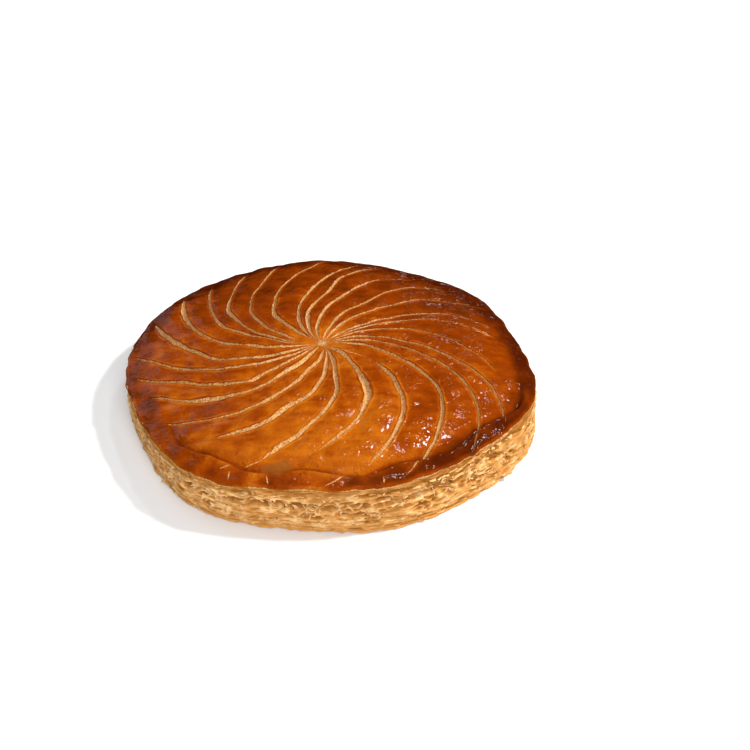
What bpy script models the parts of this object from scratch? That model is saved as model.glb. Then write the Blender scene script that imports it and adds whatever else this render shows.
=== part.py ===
"""Galette des rois: a round puff-pastry cake with a domed, spiral-scored lid and a flaky wall.

The cake is one solid. A plain disc of dough is turned first, with one group of mesh columns for
each knife cut, and the disc is then baked into shape: the columns are swept along the cuts, the
lid is domed and scored, and the wall gets its layers and its open pockets. It rests on z = 0.
"""

import math
from typing import NamedTuple

import bmesh
import bpy
from mathutils import Vector, noise

# Driving dimensions, in metres
RADIUS = 0.130
RIM_HEIGHT = 0.0298
LIP_RISE = 0.0018
LIP_WIDTH = 0.0045
CREASE_INSET = 0.0105
CREASE_WIDTH = 0.0030
CREASE_DEPTH = 0.0013
DOME_RISE = 0.0092
DOME_POWER = 2.6
SWIRL_CENTRE = (-0.0040, 0.0096)
KNOT_RADIUS = 0.010
KNOT_DEPTH = 0.0010

# The crease inside the lip is sharpest at this bearing, in degrees, and fades to the other side
CREASE_BEARING = -100.0
CREASE_LEAST = 0.45

# Slow rises and hollows over the lid, from the border inwards
ROLL_HEIGHT = 0.0009
ROLL_LENGTH = 0.035
ROLL_INSETS = (0.004, 0.020)

# Knife cuts: the groove's depth and usual width, and where most cuts start and end
CUT_DEPTH = 0.0012
CUT_WIDTH = 0.0026
CUT_START = 0.012
CUT_END = 0.118
CUT_FADE = 0.006
CUT_EASING = 0.010
GROOVE_MARGIN = 0.0008
WIDEST_GROOVE_SHARE = 0.24

# Dough that has swollen between two cuts, and the gap from which it swells fully
SWELL_HEIGHT = 0.0009
SWELL_GAP = 0.020
SWELL_FADE = 0.010

# Wall: layers of dough, and the two seams at which pockets of air have opened them
WALL_ROWS = 15
BASE_FLARE = 0.0006
BASE_TUCK = 0.0012
TUCK_HEIGHT = 0.0030
LAYER_RELIEF = 0.0009
LAYER_LENGTH = 0.016
LAYER_THICKNESS = 0.0014
SEAM_HEIGHTS = (0.0190, 0.0070)
SEAM_SPREAD = 0.0024
SEAM_DRIFT = 0.0012
SEAM_WANDER = 0.030
POCKET_DEPTH = 0.0034
POCKET_LENGTH = 0.0085
POCKET_EDGES = (0.02, 0.55)
WAVE_HEIGHT = 0.0005
WAVE_LENGTH = 0.012
EDGE_HEIGHT = 0.0033
EDGE_RELIEF = 0.25

# Mesh: columns round the cake for each cut, rings over the dome, and rings over the border,
# given as distances in from the lip. Out at the lip the columns spread to an even spacing.
COLUMNS_PER_CUT = 6
DOME_RINGS = 14
RING_CROWDING = 0.9
FIRST_RING = 0.0045
BORDER_INSETS = (0.0145, 0.0105, 0.0070, 0.0038, 0.0012, 0.0)
SPREAD_RADIUS = 0.1225
SPREAD_SHARE = 0.6
FIRST_LIP_BEARING = -45.0

# Unevenness of the hand-cut disc, as waves round it: size, number of waves, phase in degrees.
# The outline is a share of the radius; the height of the rim and the flare of the base are metres.
OUTLINE_WAVES = (
    (0.0150, 2, 273.0),
    (0.0022, 3, 335.0),
    (0.0138, 4, 253.0),
    (0.0036, 5, 146.0),
    (0.0099, 6, 270.0),
    (0.0083, 7, 234.0),
)
RIM_WAVES = ((0.0034, 1, 2.0), (0.0020, 2, 228.0), (0.0007, 3, 6.0))
FLARE_WAVES = ((0.0008, 1, 27.0), (0.0008, 2, 256.0))

# The bearings of a cut, in degrees about the swirl centre, are given where it crosses these radii
CUT_RADII = (0.030, 0.060, 0.090, 0.115)


class Cut(NamedTuple):
    """One spiral knife cut, from the middle of the lid out to the rim."""

    bearings: tuple
    start: float = CUT_START
    end: float = CUT_END
    width: float = CUT_WIDTH


CUTS = (
    Cut((6, -9, -22, -35), end=0.128),
    Cut((12, -1, -14, -23), end=0.126),
    Cut((26, 17, 0, -15)),
    Cut((34, 28, 19, 7), start=0.044),
    Cut((39, 34, 26, 14)),
    Cut((58, 49, 41, 29)),
    Cut((72, 61, 55, 42)),
    Cut((90, 78, 69, 54)),
    Cut((111, 89, 83, 71)),
    Cut((122, 102, 89, 79)),
    Cut((141, 121, 106, 92)),
    Cut((163, 141, 120, 108), start=0.038),
    Cut((172, 156, 135, 120), start=0.040),
    Cut((178, 163, 150, 133), start=0.036),
    Cut((188, 179, 165, 148)),
    Cut((204, 193, 180, 165), width=0.0034),
    Cut((212, 204, 193, 182)),
    Cut((224, 223, 203, 193)),
    Cut((241, 235, 217, 205), width=0.0040),
    Cut((259, 246, 235, 221), start=0.030),
    Cut((277, 264, 249, 234)),
    Cut((287, 280, 267, 257), width=0.0030),
    Cut((310, 299, 284, 267), end=0.110),
    Cut((331, 318, 305, 290), start=0.046, end=0.124),
    Cut((349, 336, 325, 311), end=0.128),
)

COLUMNS = COLUMNS_PER_CUT * len(CUTS)
MERGE_DISTANCE = 0.00005
SMOOTH_ANGLE = math.radians(40.0)

GLAZED_LID = ((0.47, 0.13, 0.018, 1.0), 0.30)
FLAKY_WALL = ((0.68, 0.40, 0.13, 1.0), 0.75)


def ease(low, high, value):
    """Smooth step from 0 at low to 1 at high."""
    share = min(max((value - low) / (high - low), 0.0), 1.0)
    return share * share * (3.0 - 2.0 * share)


def bell(offset, width):
    """Bell curve: 1 where the offset is nothing, fading over the width."""
    return math.exp(-((offset / width) ** 2))


def clear_scene():
    """Remove whatever the file holds before the cake is made."""
    for leftover in list(bpy.data.objects):
        bpy.data.objects.remove(leftover, do_unlink=True)


def principled(name, colour, roughness):
    """Make a material of one colour and roughness."""
    material = bpy.data.materials.new(name)
    material.use_nodes = True
    shader = material.node_tree.nodes["Principled BSDF"]
    shader.inputs["Base Color"].default_value = colour
    shader.inputs["Roughness"].default_value = roughness
    shader.inputs["Metallic"].default_value = 0.0
    return material


def waves(sizes, angle):
    """Sum of waves round the cake at an angle about its middle."""
    return sum(size * math.cos(count * angle - math.radians(phase)) for size, count, phase in sizes)


def outline_radius(angle):
    """Radius of the hand-cut disc at an angle about the middle of the cake."""
    return RADIUS * (1.0 + waves(OUTLINE_WAVES, angle))


def reach(bearing):
    """Distance from the swirl centre to the outline along a bearing."""
    distance = RADIUS
    for _ in range(4):
        x = SWIRL_CENTRE[0] + distance * math.cos(bearing)
        y = SWIRL_CENTRE[1] + distance * math.sin(bearing)
        distance += outline_radius(math.atan2(y, x)) - math.hypot(x, y)
    return distance


def straight_bearing(cut, radius):
    """Bearing of a cut, in degrees, on straight stretches between the radii it is given at."""
    stretches = list(zip(CUT_RADII, CUT_RADII[1:], cut.bearings, cut.bearings[1:]))
    inner, outer, first, last = next(
        (stretch for stretch in stretches if radius < stretch[1]), stretches[-1]
    )
    return first + (last - first) * (radius - inner) / (outer - inner)


def cut_bearing(cut, radius):
    """Bearing of a cut, in radians, at a distance from the swirl centre, with its bends eased."""
    steps = range(-2, 3)
    total = sum(straight_bearing(cut, radius + CUT_EASING * step / 2.0) for step in steps)
    return math.radians(total / len(steps))


def gap_sides(index, radius):
    """Bearings of the cuts on both sides of a gap, the second always ahead of the first."""
    near = cut_bearing(CUTS[index], radius)
    far = cut_bearing(CUTS[(index + 1) % len(CUTS)], radius)
    if index + 1 == len(CUTS):
        far += 2.0 * math.pi
    return near, far


def groove_share(cut, gap_length):
    """Share of a gap that half of a cut's groove takes up."""
    return min((cut.width / 2.0 + GROOVE_MARGIN) / gap_length, WIDEST_GROOVE_SHARE)


def column_bearing(column, radius):
    """Bearing of a mesh column at a distance from the swirl centre.

    The first column of a group runs along a cut's groove, the next and the last along the
    shoulders of the grooves on both sides of the gap, and the others between them.
    """
    index, step = divmod(column, COLUMNS_PER_CUT)
    near, far = gap_sides(index, radius)
    share = 0.0
    if step:
        gap_length = max(radius, FIRST_RING) * (far - near)
        first = groove_share(CUTS[index], gap_length)
        last = 1.0 - groove_share(CUTS[(index + 1) % len(CUTS)], gap_length)
        share = first + (last - first) * (step - 1) / (COLUMNS_PER_CUT - 2)
    swept = near + share * (far - near)
    even = math.radians(FIRST_LIP_BEARING) + 2.0 * math.pi * column / COLUMNS
    return swept + (even - swept) * SPREAD_SHARE * ease(SPREAD_RADIUS, RADIUS, radius)


def cut_strength(cut, radius):
    """How deep a cut is along its length: 1 over most of it, fading at both ends."""
    opening = ease(cut.start - CUT_FADE, cut.start, radius)
    closing = ease(cut.end - CUT_FADE, cut.end, radius)
    return opening * (1.0 - closing)


def scoring(column, radius):
    """Height that the cuts take away, and that the swelling between them adds."""
    index, step = divmod(column, COLUMNS_PER_CUT)
    if step == 0:
        return -CUT_DEPTH * cut_strength(CUTS[index], radius)
    near, far = gap_sides(index, radius)
    span = min(radius * (far - near) / SWELL_GAP, 1.0)
    across = math.sin(math.pi * (step - 0.5) / (COLUMNS_PER_CUT - 1))
    crease = RADIUS - CREASE_INSET
    return SWELL_HEIGHT * span * across * (1.0 - ease(crease - SWELL_FADE, crease, radius))


def crease_strength(angle):
    """Share of its full depth that the crease has at an angle about the middle of the cake."""
    facing = math.cos(angle - math.radians(CREASE_BEARING))
    return CREASE_LEAST + (1.0 - CREASE_LEAST) * facing


def lid_height(inset, angle, x, y):
    """Height of the unscored lid at a distance in from the outline."""
    height = RIM_HEIGHT + waves(RIM_WAVES, angle) * (1.0 - inset / RADIUS)
    height += LIP_RISE * ease(0.0, LIP_WIDTH, inset)
    height -= CREASE_DEPTH * crease_strength(angle) * bell(inset - CREASE_INSET, CREASE_WIDTH)
    risen = (inset - CREASE_INSET) / (RADIUS - CREASE_INSET)
    height += DOME_RISE * (1.0 - (1.0 - min(max(risen, 0.0), 1.0)) ** DOME_POWER)
    roll = noise.noise(Vector((x, y, 0.0)) / ROLL_LENGTH)
    return height + ROLL_HEIGHT * roll * ease(*ROLL_INSETS, inset)


def lid_point(radius, column):
    """Where a point of the flat blank's top lies on the finished lid."""
    distance = radius
    for _ in range(3):
        bearing = column_bearing(column, distance)
        distance = radius * reach(bearing) / RADIUS
    x = SWIRL_CENTRE[0] + distance * math.cos(bearing)
    y = SWIRL_CENTRE[1] + distance * math.sin(bearing)
    angle = math.atan2(y, x)
    inset = outline_radius(angle) - math.hypot(x, y)
    height = lid_height(inset, angle, x, y) + scoring(column, distance)
    height -= KNOT_DEPTH * bell(distance, KNOT_RADIUS)
    return Vector((x, y, height))


def wall_noise(angle, length, level):
    """Noise round the wall, at a length along it and at a level that picks its pattern."""
    return noise.noise(
        Vector((RADIUS * math.cos(angle) / length, RADIUS * math.sin(angle) / length, level))
    )


def layer_relief(angle, height):
    """How far the layers of the wall stand out (+) or lie back (-) at a point."""
    relief = LAYER_RELIEF * wall_noise(angle, LAYER_LENGTH, height / LAYER_THICKNESS)
    for number, seam in enumerate(SEAM_HEIGHTS):
        drift = SEAM_DRIFT * wall_noise(angle, SEAM_WANDER, 9.0 + number)
        near_seam = bell(height - seam - drift, SEAM_SPREAD)
        opening = wall_noise(angle, POCKET_LENGTH, 20.0 + 7.0 * number)
        relief -= POCKET_DEPTH * near_seam * ease(*POCKET_EDGES, opening)
    return relief


def wall_point(height, column):
    """Where a point of the blank's upright side lies on the finished wall."""
    lip = lid_point(RADIUS, column)
    angle = math.atan2(lip.y, lip.x)
    share = height / RIM_HEIGHT
    middle = ease(0.0, EDGE_HEIGHT, height) * ease(0.0, EDGE_HEIGHT, RIM_HEIGHT - height)
    flare = (BASE_FLARE + waves(FLARE_WAVES, angle)) * (1.0 - share)
    tuck = BASE_TUCK * (1.0 - ease(0.0, TUCK_HEIGHT, height))
    relief = layer_relief(angle, height) * (EDGE_RELIEF + (1.0 - EDGE_RELIEF) * middle)
    radius = math.hypot(lip.x, lip.y) + flare - tuck + relief
    wave = WAVE_HEIGHT * wall_noise(angle, WAVE_LENGTH, height / WAVE_LENGTH) * middle
    return Vector((radius * math.cos(angle), radius * math.sin(angle), share * lip.z + wave))


def blank_profile():
    """Half section of the flat disc of dough, from the top of the axis out and down to the base."""
    dome_edge = RADIUS - BORDER_INSETS[0]
    top = [0.0]
    for ring in range(DOME_RINGS):
        share = (ring / DOME_RINGS) ** RING_CROWDING
        top.append(FIRST_RING + (dome_edge - FIRST_RING) * share)
    top += [RADIUS - inset for inset in BORDER_INSETS]
    points = [(radius, RIM_HEIGHT) for radius in top]
    for row in range(1, WALL_ROWS + 1):
        points.append((RADIUS, RIM_HEIGHT * (1.0 - row / WALL_ROWS)))
    return points


def turned_disc():
    """Turn the half section into an open-bottomed disc, with a mesh column for each step."""
    points = blank_profile()
    section = bpy.data.meshes.new("section")
    edges = [(number, number + 1) for number in range(len(points) - 1)]
    section.from_pydata([(radius, 0.0, height) for radius, height in points], edges, [])
    blank = bpy.data.objects.new("blank", section)
    bpy.context.scene.collection.objects.link(blank)
    screw = blank.modifiers.new("turn", "SCREW")
    screw.steps = COLUMNS
    screw.render_steps = COLUMNS
    screw.use_merge_vertices = True
    screw.merge_threshold = MERGE_DISTANCE
    graph = bpy.context.evaluated_depsgraph_get()
    mesh = bpy.data.meshes.new_from_object(blank.evaluated_get(graph))
    bpy.data.objects.remove(blank, do_unlink=True)
    bpy.data.meshes.remove(section)
    return mesh


def close_base(mesh):
    """Weld the turned disc's seam and close its bottom with one flat face."""
    disc = bmesh.new()
    disc.from_mesh(mesh)
    bmesh.ops.remove_doubles(disc, verts=disc.verts, dist=MERGE_DISTANCE)
    bottom = [edge for edge in disc.edges if edge.is_boundary]
    bmesh.ops.contextual_create(disc, geom=bottom)
    bmesh.ops.recalc_face_normals(disc, faces=disc.faces)
    disc.to_mesh(mesh)
    disc.free()


def bake(mesh):
    """Move every vertex of the flat disc to its place on the finished cake."""
    for vertex in mesh.vertices:
        x, y, height = vertex.co
        radius = math.hypot(x, y)
        column = round(math.atan2(y, x) / (2.0 * math.pi) * COLUMNS) % COLUMNS
        if radius < MERGE_DISTANCE:
            middle = lid_height(RADIUS, 0.0, *SWIRL_CENTRE) - KNOT_DEPTH
            vertex.co = Vector((*SWIRL_CENTRE, middle))
        elif height > RIM_HEIGHT - MERGE_DISTANCE:
            vertex.co = lid_point(radius, column)
        else:
            vertex.co = wall_point(height, column)


def centre_on_origin(mesh):
    """Centre the cake's own box on the origin, with its base left at z = 0."""
    across = [vertex.co.x for vertex in mesh.vertices]
    along = [vertex.co.y for vertex in mesh.vertices]
    middle = Vector(((min(across) + max(across)) / 2.0, (min(along) + max(along)) / 2.0, 0.0))
    for vertex in mesh.vertices:
        vertex.co -= middle


def brown(mesh):
    """Give the lid its glaze, and the wall and the base their pale crust."""
    mesh.materials.clear()
    mesh.materials.append(principled("glazed_lid", *GLAZED_LID))
    mesh.materials.append(principled("flaky_wall", *FLAKY_WALL))
    for face in mesh.polygons:
        face.material_index = 0 if face.normal.z > 0.5 and face.center.z > RIM_HEIGHT / 2.0 else 1


def make_galette(collection):
    """Make the whole cake as one object."""
    mesh = turned_disc()
    mesh.name = "galette"
    close_base(mesh)
    bake(mesh)
    centre_on_origin(mesh)
    brown(mesh)
    mesh.shade_smooth()
    mesh.set_sharp_from_angle(angle=SMOOTH_ANGLE)
    collection.objects.link(bpy.data.objects.new("galette", mesh))


def main():
    clear_scene()
    collection = bpy.data.collections.new("galette_des_rois")
    bpy.context.scene.collection.children.link(collection)
    make_galette(collection)


main()
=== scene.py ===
"""Looks of a galette des rois: a glazed, spiral-scored lid on a wall of flaky puff pastry.

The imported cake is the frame. The lid, the cracks in its glaze, the wall, the leaves of pastry that
stand out of it, the torn flakes and the base are modelled round that frame, each as its own piece.
"""

import math
from typing import NamedTuple

import bmesh
import bpy
import numpy as np
from bpy.props import FloatProperty, FloatVectorProperty, IntProperty, PointerProperty
from mathutils import Matrix, Vector, noise
from mathutils.bvhtree import BVHTree


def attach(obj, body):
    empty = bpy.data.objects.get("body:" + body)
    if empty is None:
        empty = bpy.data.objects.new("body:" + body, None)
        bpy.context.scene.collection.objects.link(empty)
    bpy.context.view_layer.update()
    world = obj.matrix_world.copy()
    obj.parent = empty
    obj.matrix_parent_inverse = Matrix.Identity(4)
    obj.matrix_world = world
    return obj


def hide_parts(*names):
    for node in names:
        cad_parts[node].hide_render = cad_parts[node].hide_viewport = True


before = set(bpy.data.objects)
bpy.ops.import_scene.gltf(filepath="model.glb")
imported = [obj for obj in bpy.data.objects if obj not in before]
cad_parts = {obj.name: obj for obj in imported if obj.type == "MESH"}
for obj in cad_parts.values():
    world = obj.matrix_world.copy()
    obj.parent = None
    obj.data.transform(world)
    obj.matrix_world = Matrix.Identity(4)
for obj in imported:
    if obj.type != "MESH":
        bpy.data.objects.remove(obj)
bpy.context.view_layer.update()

bl_info = {
    "name": "Galette des rois",
    "version": (1, 0, 0),
    "blender": (4, 5, 0),
    "location": "3D View > Sidebar > Galette",
    "description": "A glazed, spiral-scored puff-pastry cake with a flaky wall",
    "category": "Add Mesh",
}

NODE = "galette"

# The middle of the hand-cut outline lies this far from the middle of the cake's box
OUTLINE_SHIFT = (-0.00047, -0.00144)
SWIRL_CENTRE = (-0.0040, 0.0096)

# Unevenness of the hand-cut disc, as waves round it: size, number of waves, phase in degrees.
# The outline is a share of the radius; the height of the rim and the flare of the base are metres.
OUTLINE_WAVES = (
    (0.0150, 2, 273.0),
    (0.0022, 3, 335.0),
    (0.0138, 4, 253.0),
    (0.0036, 5, 146.0),
    (0.0099, 6, 270.0),
    (0.0083, 7, 234.0),
)
RIM_WAVES = ((0.0034, 1, 2.0), (0.0020, 2, 228.0), (0.0007, 3, 6.0))
FLARE_WAVES = ((0.0008, 1, 27.0), (0.0008, 2, 256.0))

# The bearings of a cut, in degrees about the swirl centre, are given where it crosses these radii.
# It runs straight between them and on to the table's ends, with its bends eased over a length.
CUT_RADII = (0.030, 0.060, 0.090, 0.115)
TABLE_ENDS = (-0.02, 0.15)
CUT_EASING = 0.005

# The length over which a cut gets shallow at both ends
CUT_FADE = 0.006


class Cut(NamedTuple):
    """One spiral knife cut, from the middle of the lid out to the rim.

    The kinks are further places on it, as radius and bearing. Where the knife leant over, the cut is
    wide: radius, extra width, and the length over which it narrows again.
    """

    bearings: tuple
    kinks: tuple = ()
    wide: tuple = ()
    start: float = 0.0065
    end: float = 0.118
    width: float = 0.0026


CUTS = (
    Cut((2, -9, -22, -33), kinks=((0.137, -47.6),), end=0.141, width=0.0020),
    Cut((12, -1, -14, -23), kinks=((0.137, -35.0),), end=0.1405, width=0.0019),
    Cut((26, 17, 0, -15), width=0.0018),
    Cut((34, 28, 19, 7), start=0.018, width=0.0017),
    Cut((39, 34, 26, 14), width=0.0018),
    Cut((58, 49, 41, 29), end=0.126, width=0.0019),
    Cut((72, 61, 55, 42), kinks=((0.050, 64.5), (0.054, 62.0)), width=0.0019),
    Cut((93, 78, 69, 54), kinks=((0.020, 101.0),), end=0.122, width=0.0022),
    Cut((111, 89, 83, 71), wide=((0.034, 0.0010, 0.012),), width=0.0024),
    Cut((122, 102, 89, 79), end=0.121, width=0.0023),
    Cut((140, 124, 106, 91), kinks=((0.045, 136.2), (0.051, 132.0)),
        wide=((0.044, 0.0010, 0.010),), end=0.122, width=0.0023),
    Cut((159, 143, 120, 107), kinks=((0.066, 138.5),),
        wide=((0.056, 0.0006, 0.012),), start=0.018, width=0.0020),
    Cut((170, 155, 135, 119), kinks=((0.078, 146.5), (0.086, 138.8)),
        wide=((0.080, 0.0013, 0.010),), start=0.018, width=0.0022),
    Cut((174, 163, 148, 134), kinks=((0.072, 160.5),),
        wide=((0.076, 0.0008, 0.010),), start=0.018, width=0.0022),
    Cut((188, 179, 164, 148), wide=((0.110, 0.0026, 0.013),), end=0.122),
    Cut((203, 195, 178, 164), kinks=((0.071, 190.7), (0.073, 187.2)),
        wide=((0.100, 0.0022, 0.022),), end=0.123),
    Cut((212, 204, 193, 182), end=0.125),
    Cut((224, 223, 203, 193), wide=((0.078, 0.0010, 0.014),), end=0.124),
    Cut((239, 233, 218, 203), kinks=((0.095, 215.5), (0.098, 212.2)),
        wide=((0.029, 0.0024, 0.015), (0.087, 0.0022, 0.010))),
    Cut((258, 247, 235, 220), kinks=((0.013, 276.0),), start=0.010, end=0.121),
    Cut((277, 264, 249, 235), kinks=((0.072, 255.8),),
        wide=((0.070, 0.0014, 0.012), (0.094, 0.0012, 0.009)), end=0.115),
    Cut((287, 280, 266, 256), kinks=((0.094, 264.2),), wide=((0.104, 0.0020, 0.013),), end=0.120),
    Cut((309, 299, 283, 267), kinks=((0.075, 292.8),), wide=((0.066, 0.0014, 0.022),), end=0.112),
    Cut((331, 318, 305, 290), wide=((0.098, 0.0008, 0.015),), start=0.044, end=0.127),
    Cut((349, 336, 325, 309), kinks=((0.126, 301.5), (0.137, 292.4)),
        wide=((0.118, 0.0010, 0.014),), end=0.141),
)

# Mesh columns for each cut. The nearest ones on either side of a groove lie this many half widths
# from its middle, and take up at most this share of the gap to the next groove.
COLUMNS_PER_CUT = 26
GROOVE_STEPS = (0.0, 0.3, 0.6, 0.85, 1.05, 1.35, 1.9)
GROOVE_LIMIT = 0.24

# The crease wanders: size, number of waves and phase in degrees of its distance from the rim. It is
# folded deepest at the front.
CREASE_WAVES = ((0.0034, 1, 235.0), (0.0021, 13, 218.0))
CREASE_FRONT = 282.0


class Stroke(NamedTuple):
    """A short crack or scratch in the glaze, between two places."""

    start: tuple
    end: tuple


STROKES = (
    Stroke((-0.0529, -0.1111), (-0.0532, -0.1175)),
    Stroke((-0.0585, -0.1088), (-0.0522, -0.1073)),
    Stroke((-0.0312, -0.1170), (-0.0299, -0.1230)),
    Stroke((-0.0440, -0.1080), (-0.0342, -0.1052)),
    Stroke((0.0024, -0.1259), (0.0143, -0.1191)),
    Stroke((0.0352, -0.1203), (0.0357, -0.1245)),
    Stroke((0.0040, 0.0015), (0.0245, -0.0089)),
)
STROKE_WIDTH = 0.0010
STROKE_THICKNESS = 0.0003
STROKE_BARENESS = 0.52
STROKE_SEED = 7

# A dull patch of glaze by the crease: its middle and its half sizes
DULL_PATCH_MIDDLE = (-0.0258, -0.1112)
DULL_PATCH_SIZE = (0.0085, 0.0048)


class Seam(NamedTuple):
    """A level of the wall at which pockets of air have parted the pastry.

    It has half the height of its tallest pocket, the lengths of the shortest and the longest, the
    share of them that stay closed, and their depth.
    """

    level: float
    half_height: float
    shortest: float
    longest: float
    closed: float
    depth: float


SEAMS = (
    Seam(0.0186, 0.0032, 0.007, 0.020, 0.12, 0.0070),
    Seam(0.0066, 0.0010, 0.004, 0.014, 0.30, 0.0046),
    Seam(0.0124, 0.0013, 0.003, 0.010, 0.50, 0.0030),
    Seam(0.0260, 0.0007, 0.006, 0.020, 0.30, 0.0028),
)
POCKET_SEED = 31
LAYER_THICKNESS = 0.0017

# Leaves that stand out of the wall: the seam and the side of it that each borders, or a level of
# its own for one that lies in a closed stack
LEAVES = (
    (None, 0.0028),
    (1, -1.0),
    (1, 1.0),
    (2, 1.0),
    (0, -1.0),
    (0, 1.0),
    (3, -1.0),
    (3, 1.0),
)


class Tatter(NamedTuple):
    """A large torn flake: its bearing, level, length, width, sideways lean and outward lean."""

    bearing: float
    level: float
    length: float
    width: float
    lean: float
    outward: float


TATTERS = (
    Tatter(-35.0, 0.0032, 0.0050, 0.0100, 0.2, 1.05),
    Tatter(-139.0, 0.0012, 0.0030, 0.0040, 0.0, 1.25),
    Tatter(-114.0, 0.0120, 0.0065, 0.0050, 2.9, 0.12),
    Tatter(-121.0, 0.0150, 0.0050, 0.0035, 2.6, 0.12),
    Tatter(-96.0, 0.0165, 0.0055, 0.0035, 0.5, 0.20),
    Tatter(-70.0, 0.0160, 0.0060, 0.0030, -0.5, 0.20),
    Tatter(-58.0, 0.0225, 0.0060, 0.0020, 0.1, 0.15),
)

# Loose flakes: their ranges of length, width and height on the wall
FLAKE_LENGTHS = (0.0012, 0.0034)
FLAKE_WIDTHS = (0.0005, 0.0014)
FLAKE_LEVELS = (0.003, 0.0255)
FLAKE_THICKNESS = 0.00014
FLAKE_SEED = 14

MERGE_DISTANCE = 1e-7

# Mesh columns round each blank, and how many of them each wedge of a spun blank is split into
WALL_COLUMNS = 1700
LEAF_COLUMNS = 1400
BASE_COLUMNS = 540
WEDGE_COLUMNS = 10

# The lid's mesh: its first ring, its rings over the dome and over the border, and its skirt's rows
FIRST_RING = 0.0018
DOME_RINGS = 106
BORDER_RINGS = 27
BORDER_WIDTH = 0.0165
SKIRT_ROWS = 5
SKIRT_STEP = 0.00049

# The wall is a ring of this thickness. It stops short of the floor and of the glaze's edge.
WALL_ROWS = 54
WALL_THICKNESS = 0.024
WALL_FOOT = 0.0004
WALL_DROP = 0.0012

# How far back a leaf is where it is torn off
LEAF_TEAR = 0.0026

# The base's mesh: rings across its bottom, and rows up its edge
BASE_RINGS = 40
BASE_ROWS = 5
BASE_STEP = 0.0004

FLOOR_SIZE = 3.0

# The camera looks down at its target, in degrees, with a slight roll
CAMERA_TARGET = (0.02982, 0.03042, 0.0)
CAMERA_DISTANCE = 0.87916
CAMERA_ELEVATION = 34.535
CAMERA_ROLL = 0.229
CAMERA_LENS = 62.4
SENSOR_WIDTH = 36.0


class Softbox(NamedTuple):
    """A square soft light. The direction is the way to it from the middle of the cake."""

    name: str
    direction: tuple
    distance: float
    size: float
    power: float
    tint: tuple
    mirrored: bool


SOFTBOXES = (
    Softbox("key", (0.68, 0.14, 0.72), 2.6, 0.30, 77.0, (1.0, 0.98, 0.96), False),
    Softbox("overhead", (-0.22, 0.18, 1.00), 2.4, 1.8, 18.5, (0.92, 0.96, 1.0), False),
    Softbox("front", (0.10, -0.80, 0.56), 1.8, 1.2, 28.0, (1.0, 0.99, 0.98), False),
    Softbox("sheen", (-0.62, 0.70, 0.40), 1.6, 0.9, 1.0, (0.97, 0.97, 1.0), True),
    Softbox("glint", (0.27, 0.45, 0.85), 1.3, 0.11, 2.0, (1.0, 1.0, 1.0), True),
    Softbox("far glint", (0.20, 0.93, 0.25), 1.3, 0.07, 0.06, (1.0, 1.0, 1.0), True),
    Softbox("rim glint", (-0.05, -0.25, 0.97), 1.3, 0.05, 0.30, (0.95, 0.97, 1.0), True),
)
ROOM_TINT = (0.93, 0.97, 1.0, 1.0)
ROOM_BRIGHTNESS = 0.125


def size_setting(name, description, default):
    """A length that can be set in the panel."""
    return FloatProperty(name=name, description=description, default=default, subtype="DISTANCE")


def colour_setting(name, description, default):
    """A colour that can be set in the panel."""
    return FloatVectorProperty(name=name, description=description, default=default, subtype="COLOR")


class CakeSizes(bpy.types.PropertyGroup):
    """Sizes of the cake."""

    radius: size_setting("Radius", "Mean radius of the cake", 0.130)
    rim_height: size_setting("Rim height", "Height of the glaze's edge", 0.0298)
    lip_rise: size_setting("Lip rise", "Rise of the rounded lip", 0.0024)
    lip_width: size_setting("Lip width", "Width of the lip's rounding", 0.0085)
    crease_inset: size_setting("Crease inset", "Crease's distance from the rim", 0.0097)
    crease_depth: size_setting("Crease depth", "Depth of the crease", 0.0030)
    dome_rise: size_setting("Dome rise", "Rise of the lid above the crease", 0.0088)
    cut_depth: size_setting("Cut depth", "Depth of the knife cuts", 0.0017)
    swell: size_setting("Swell", "Rise of the dough between two cuts", 0.0013)
    leaf_thickness: size_setting("Leaf thickness", "Thickness of a leaf of pastry", 0.0005)
    flakes: IntProperty(name="Flakes", description="Number of loose flakes", default=240, min=0)


class CakeColours(bpy.types.PropertyGroup):
    """Colours of the cake and its floor."""

    amber: colour_setting("Amber", "Lightest glaze", (0.432, 0.110, 0.0042))
    chestnut: colour_setting("Chestnut", "Usual glaze", (0.232, 0.0345, 0.0008))
    mahogany: colour_setting("Mahogany", "Darkest glaze", (0.062, 0.0075, 0.0008))
    dough: colour_setting("Dough", "Bare dough in the cuts", (0.72, 0.42, 0.170))
    pale_leaf: colour_setting("Pale leaf", "Palest pastry of the wall", (0.80, 0.51, 0.220))
    golden_leaf: colour_setting("Golden leaf", "Usual pastry of the wall", (0.59, 0.272, 0.068))
    toasted_leaf: colour_setting("Toasted leaf", "Darkest pastry of the wall", (0.30, 0.105, 0.008))
    floor: colour_setting("Floor", "Colour of the floor", (0.86, 0.86, 0.86))


def ease(low, high, value):
    """Smooth step from 0 at low to 1 at high."""
    share = np.clip((value - low) / (high - low), 0.0, 1.0)
    return share * share * (3.0 - 2.0 * share)


def bell(offset, width):
    """Bell curve: 1 where the offset is nothing, fading over the width."""
    return np.exp(-((offset / width) ** 2))


def waves(sizes, angle):
    """Sum of waves round the cake at an angle about its middle."""
    return sum(size * np.cos(count * angle - math.radians(phase)) for size, count, phase in sizes)


def lumps(x, y, z, length):
    """Smooth noise from about -1 to 1 at each place, with lumps of the given length."""
    places = np.stack(np.broadcast_arrays(x, y, z), axis=-1) / length
    return np.array([noise.noise(place) for place in places.tolist()])


def cell_depth(x, y, z, length, flatness):
    """How far inside one of many scattered cells each place lies: 0 on a border between two cells."""
    places = np.stack((x, y, z / flatness), axis=-1) / length
    nearest = np.array([noise.voronoi(place)[0][:2] for place in places.tolist()])
    return nearest[:, 1] - nearest[:, 0]


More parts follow.
